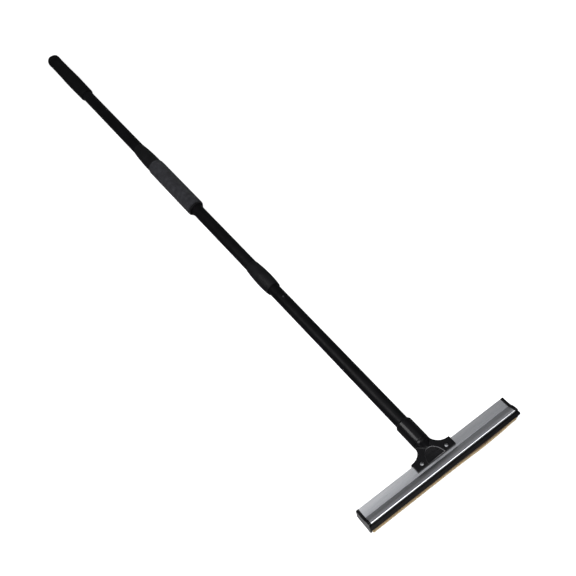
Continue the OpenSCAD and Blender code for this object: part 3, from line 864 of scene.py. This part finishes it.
def blade_channel():
    """Extrusion with a keyhole slot for the blade, and its pole-side edge broken."""
    slot = BLADE_T / 2 + 0.15 * MM
    outline = [(HEAD_Y, FLANGE_BACK), (HEAD_Y, FLANGE_FRONT - 0.3 * MM), (HEAD_Y - 0.3 * MM, FLANGE_FRONT)]
    outline += ramp(0) + nose(0)
    outline += [(MOUTH_Y, BEAD[1] + slot)] + keyhole(2.7 * MM, slot)
    outline += [(MOUTH_Y, BEAD[1] - slot), (MOUTH_Y, FLANGE_BACK)]
    channel = prism("channel_extrusion", outline, CHANNEL_LOW.x, CHANNEL_HIGH.x, sharp_degrees=20)
    stands_for(channel, "blade_channel")


def outer_corner(x, y, side):
    """What a cap loses where its pole-side corner is rounded off, seen from the front."""
    r = 2.6 * MM
    arc = [(x - side * r * (1 - math.sin(a)), y - r * (1 - math.cos(a))) for a in along(0, math.pi / 2, 8)]
    outline = arc + [(x + side * MM, y - r), (x + side * MM, y + MM), (x - side * r, y + MM)]
    return prism("corner", outline, -MM, POLE_Z * 2, axis="z")


def channel_cap(node, side):
    """Moulded end plate, as deep as the head, with a lap over the front of the channel."""
    low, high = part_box(node)
    inner, outer = (low.x, high.x) if side > 0 else (high.x, low.x)
    wall, web_room = 1.1 * MM, 9 * MM
    end = CHANNEL_HIGH.x * side
    back, top, foot = low.z, high.y, low.y
    front = [(top, FLANGE_FRONT + 0.3 * MM), (top - 0.8 * MM, FLANGE_FRONT + wall)]
    front += ramp(wall, 12) + nose(wall)
    plate = [(top, back)] + front + [(MOUTH_Y - wall, FLANGE_BACK), (foot, FLANGE_BACK - MM), (foot, back)]
    radii = [3.5 * MM] + [0] * (len(plate) - 4) + [0.8 * MM, 1.2 * MM, 3.0 * MM]
    x0, x1 = sorted((end + side * 0.03 * MM, outer))
    body = prism("plate", rounded(plate, radii, 6), x0, x1)
    x0, x1 = sorted((inner, end + side * MM))
    lap = prism("lap", front + [(MOUTH_Y - wall, FLANGE_BACK)] + [(MOUTH_Y, FLANGE_BACK)]
                + nose(0)[::-1] + ramp(0, 12)[::-1] + [(top, FLANGE_FRONT)], x0, x1)
    cap = mould(join(node + "_moulding", body, lap), 0.3 * MM, 5)
    slot = BLADE_T / 2 + 0.2 * MM
    x0, x1 = sorted((inner - side * web_room, outer + side * web_room))
    web = block("web", (x0, MOUTH_Y - web_room, BEAD[1] - slot), (x1, MOUTH_Y + FIT, BEAD[1] + slot))
    stands_for(cut(cap, web, outer_corner(outer, top, side)), node)


def rubber_blade():
    """Bead in the channel and a flat web with a square, slightly worn wiping edge."""
    low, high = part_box("rubber_blade")
    half, edge, root = high.x, low.y, MOUTH_Y - 0.25 * MM
    under, over = BEAD[1] - BLADE_T / 2, BEAD[1] + BLADE_T / 2
    face = rounded([(-half, root), (-half, edge), (half, edge), (half, root)],
                   [0.4 * MM, 2.6 * MM, 2.6 * MM, 0.4 * MM], 8)
    web = bevelled(prism("blade", face, under, over, axis="z"), 0.25 * MM, 30)
    neck_y = MOUTH_Y - 0.3 * MM
    outline = [(neck_y, over)] + keyhole(2.5 * MM, BLADE_T / 2) + [(neck_y, under)]
    bead = prism("bead", outline, CHANNEL_LOW.x, CHANNEL_HIGH.x)
    blade = join("wiper_blade", web, bead)
    shade(blade, 30)
    stands_for(blade, "rubber_blade")


def sponge_carrier():
    low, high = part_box("sponge_carrier")
    stands_for(bevelled(block("carrier_strip", low, high), 0.5 * MM, 30), "sponge_carrier")


# ---------------------------------------------------------------- sponge and net

CELL = 5.2 * MM            # width of one mesh of the net
STRAND_R = 0.27 * MM


def sponge_section():
    """Closed outline of the sponge in y and z, and the corner where its net ends."""
    low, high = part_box("scrubber_sponge")
    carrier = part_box("sponge_carrier")[0]
    lip_y = carrier.y - 0.4 * MM
    corners = [(lip_y, high.z), (low.y, high.z), (low.y, low.z), (high.y, low.z), (high.y, carrier.z),
               (lip_y, carrier.z)]
    coarse = rounded(corners, [0.8 * MM, 1.3 * MM, 4.0 * MM, 3.0 * MM, 0.8 * MM, 0], 8)
    step = 0.8 * MM
    fine = []
    for i, p in enumerate(coarse):
        a, b = Vector(p), Vector(coarse[(i + 1) % len(coarse)])
        parts = max(1, round((b - a).length / step))
        fine += [tuple(a.lerp(b, k / parts)) for k in range(parts)]
    return fine, (high.y, carrier.z)


def arc_lengths(outline):
    """Distance of each point from the first, and the whole way round."""
    points = np.array(outline + [outline[0]])
    steps = np.linalg.norm(np.diff(points, axis=0), axis=1)
    return np.concatenate([[0], np.cumsum(steps)])


def outward(outline):
    """Unit normals that point out of a closed outline."""
    points = np.array(outline)
    tangent = np.roll(points, -1, axis=0) - np.roll(points, 1, axis=0)
    tangent /= np.linalg.norm(tangent, axis=1)[:, None]
    normal = np.stack([tangent[:, 1], -tangent[:, 0]], axis=1)
    centre = points.mean(axis=0)
    if ((points - centre) * normal).sum() < 0:
        normal = -normal
    return normal


def crept(x, y):
    """How far the pad has crept forward in its net: full right of the middle, drawn in at that end."""
    low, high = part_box("scrubber_sponge")
    most = 1.3 * MM
    lean = np.clip((high.y - y) / (high.y - low.y), 0, 1) ** 2
    full = most * np.exp(-((x - 78 * MM) / (42 * MM)) ** 2)
    return lean * (full - most / (1 + np.exp((133 * MM - x) / (5 * MM))))


def scrubber_sponge():
    """Sponge that bulges a little through each mesh of its net."""
    outline, _ = sponge_section()
    lengths, normals = arc_lengths(outline), outward(outline)
    low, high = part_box("scrubber_sponge")
    xs = np.linspace(low.x, high.x, 380)
    rng = np.random.default_rng(7)
    verts, count = [], len(outline)
    points = np.array(outline)
    for n, x in enumerate(xs):
        u, v = (x + lengths[:-1]) / CELL, (x - lengths[:-1]) / CELL
        quilt = np.abs(np.sin(np.pi * u) * np.sin(np.pi * v)) ** 0.7
        lift = 0.42 * MM * quilt - 0.12 * MM + rng.normal(0, 0.045 * MM, count)
        end = min(n, len(xs) - 1 - n)
        lift -= 0.9 * MM * max(0, 1 - end / 3) ** 2
        ring = points + normals * lift[:, None]
        verts += [(x, y - crept(x, y), z) for y, z in ring]
    faces = bands(len(xs), count) + ends(len(xs), count)
    piece = stands_for(mesh_object("golden_sponge", verts, faces, 75), "scrubber_sponge")


def strand(path, normals, radii):
    """A closed tube along a path of points that lies on a surface with those normals."""
    tangents = np.gradient(path, axis=0)
    tangents /= np.linalg.norm(tangents, axis=1)[:, None]
    across = np.cross(tangents, normals)
    verts, sides = [], 6
    for p, n, b, r in zip(path, normals, across, radii):
        for k in range(sides):
            a = 2 * math.pi * k / sides
            verts.append(tuple(p + r * (math.cos(a) * n + math.sin(a) * b)))
    return verts, bands(len(path), sides) + ends(len(path), sides)


def sponge_net():
    """Diamond netting round the sponge, except against its carrier, knotted where strands cross."""
    outline, last = sponge_section()
    lengths, normals = arc_lengths(outline), outward(outline)
    stop = int(np.argmin([(y - last[0]) ** 2 + (z - last[1]) ** 2 for y, z in outline]))
    s = lengths[:stop + 1]
    section, outwards = np.array(outline[:stop + 1]), normals[:stop + 1]
    low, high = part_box("scrubber_sponge")
    x_low, x_high = low.x + 0.3 * MM, high.x - 0.3 * MM
    verts, faces = [], []

    def add(strand_parts):
        start = len(verts)
        verts.extend(strand_parts[0])
        faces.extend(tuple(start + i for i in face) for face in strand_parts[1])

    first = math.floor((x_low - s[-1]) / CELL)
    final = math.ceil((x_high + s[-1]) / CELL)
    for slant in (-1, 1):
        for k in range(first, final + 1):
            x = k * CELL + slant * s
            inside = (x >= x_low) & (x <= x_high)
            if inside.sum() < 4:
                continue
            # The strands of one slant pass over and under the others in turn
            crossing = (x + slant * s) / CELL
            near = np.abs(crossing - np.round(crossing))
            over = slant * 0.13 * MM * np.cos(np.pi * crossing)
            centre = section + outwards * (STRAND_R + 0.02 * MM + over[:, None] * 0.9)
            radii = STRAND_R * (1 + 0.4 * np.exp(-(near / 0.09) ** 2))
            path = np.column_stack([x, centre])[inside]
            path[:, 1] -= crept(path[:, 0], path[:, 1])
            away = np.column_stack([np.zeros(len(s)), outwards])[inside]
            add(strand(path, away, radii[inside]))
    # Selvedge cords along both edges of the net
    for row in (0, stop):
        xs = np.linspace(x_low, x_high, 300)
        wobble = 0.06 * MM * np.sin(xs / CELL * 2 * np.pi)
        centre = section[row] + outwards[row] * 0.2 * MM
        path = np.column_stack([xs, np.full(300, centre[0]) + wobble, np.full(300, centre[1])])
        path[:, 1] -= crept(path[:, 0], path[:, 1])
        away = np.tile([0.0, *outwards[row]], (300, 1))
        add(strand(path, away, 0.42 * MM * (1 + 0.15 * np.cos(xs / CELL * 4 * np.pi))))
    net = mesh_object("sponge_netting", verts, faces, 80)
    stands_for(net, "sponge_net")


# ---------------------------------------------------------------- stage, light and camera

def floor():
    half, height, mesh = 6.0, -0.05 * MM, bpy.data.meshes.new("floor")
    mesh.from_pydata([(x * half, y * half, height) for x, y in ((-1, -1), (1, -1), (1, 1), (-1, 1))],
                     [], [(0, 1, 2, 3)])
    plane = bpy.data.objects.new("floor", mesh)
    bpy.context.scene.collection.objects.link(plane)
    # Lit backdrop: bright where it is seen, and dim enough not to wash out the black parts above it
    s = Shader("pale_floor", Roughness=0.9, Specular_IOR_Level=0.0, Emission_Color=(1, 1, 1, 1))
    path = s.node("ShaderNodeLightPath").outputs["Is Camera Ray"]
    s.tree.links.new(s.between(path, 0.03, 0.75, 0, 1), s.surface.inputs["Emission Strength"])
    s.colour(s.mix(path, (0.10, 0.10, 0.10), (0.85, 0.85, 0.85)))
    plane.data.materials.append(s.material)


def softbox(name, target, direction, distance, width, length, radiance):
    """An area light that faces the target, with the given brightness over its whole face."""
    light = bpy.data.lights.new(name, "AREA")
    light.shape = "RECTANGLE"
    light.size, light.size_y = width, length
    light.energy = radiance * math.pi * width * length
    lamp = bpy.data.objects.new(name, light)
    bpy.context.scene.collection.objects.link(lamp)
    away = Vector(direction).normalized()
    lamp.location = Vector(target) + away * distance
    lamp.rotation_euler = away.to_track_quat("Z", "Y").to_matrix().to_euler()
    return lamp


def studio_sky():
    """A sky that is dim at the horizon and brighter overhead, more so on the left."""
    world = bpy.data.worlds.new("studio")
    bpy.context.scene.world = world
    world.use_nodes = True
    tree = world.node_tree
    place = tree.nodes.new("ShaderNodeTexCoord")
    height = tree.nodes.new("ShaderNodeVectorMath")
    height.operation = "DOT_PRODUCT"
    height.inputs[1].default_value = (-0.2, 0, 0.98)
    tree.links.new(place.outputs["Generated"], height.inputs[0])
    shades = tree.nodes.new("ShaderNodeValToRGB")
    stops = [(0.0, 0.11), (0.30, 0.09), (0.60, 0.13), (0.74, 0.19), (0.84, 0.26), (1.0, 0.34)]
    ramp_stops = shades.color_ramp.elements
    while len(ramp_stops) < len(stops):
        ramp_stops.new(0.5)
    for element, (position, grey) in zip(ramp_stops, stops):
        element.position = position
        element.color = (grey, grey, grey * 1.03, 1)
    tree.links.new(height.outputs["Value"], shades.inputs["Fac"])
    tree.links.new(shades.outputs["Color"], tree.nodes["Background"].inputs["Color"])


def lights():
    studio_sky()
    head, sleeve = (0, HEAD_Y, POLE_Z), (0, HEAD_Y + 0.05, POLE_Z)
    from_left, from_front_left = (-0.55, 0.37, 0.75), (-0.8, -0.45, 0.4)
    overhead = softbox("overhead", head, (0, 0, 1), 2.0, width=2.2, length=2.0, radiance=2.5)
    overhead.location += Vector((-0.05, -0.75, 0))
    softbox("left", sleeve, from_left, 1.6, width=0.55, length=0.8, radiance=5.2)
    softbox("spark", sleeve, from_left, 1.6, width=0.26, length=0.26, radiance=22)
    softbox("front_left", head, from_front_left, 1.8, width=0.7, length=0.7, radiance=4.6)


def camera():
    """High on the left of the head, looking up the pole, and rolled a little."""
    azimuth, elevation, roll = math.radians(-24.04), math.radians(50.82), math.radians(-14.54)
    target = Vector((0.0227, HEAD_Y + 0.4409, POLE_Z))
    distance = 1.5676
    away = Vector((math.sin(azimuth) * math.cos(elevation), -math.cos(azimuth) * math.cos(elevation),
                   math.sin(elevation)))
    data = bpy.data.cameras.new("camera")
    data.lens, data.sensor_width = 50.0, 36.0
    data.clip_end = 20
    made = bpy.data.objects.new("camera", data)
    bpy.context.scene.collection.objects.link(made)
    level = away.to_track_quat("Z", "Y").to_matrix()
    made.matrix_world = Matrix.Translation(target + away * distance) @ (
        level @ Matrix.Rotation(roll, 3, "Z")).to_4x4()
    bpy.context.scene.camera = made


# ---------------------------------------------------------------- build

camera()
tubes()
end_cap()
end_grip()
grip_ferrule()
foam_grip()
grip_end_bush()
lock_collar()
release_button()
socket_sleeve()
thread_tip()
yoke()
yoke_panel()
clamp_screws()
clamp_nuts()
blade_channel()
channel_cap("channel_cap_left", -1)
channel_cap("channel_cap_right", 1)
rubber_blade()
sponge_carrier()
scrubber_sponge()
sponge_net()

# The CAD nodes that still show, or would show on an open joint, take their slot's material
for node, cad in frame["nodes"].items():
    cad.data.materials.clear()
    cad.data.materials.append(MATERIAL[SLOT_OF[node]])

floor()
lights()
bpy.context.scene.view_settings.view_transform = "Standard"
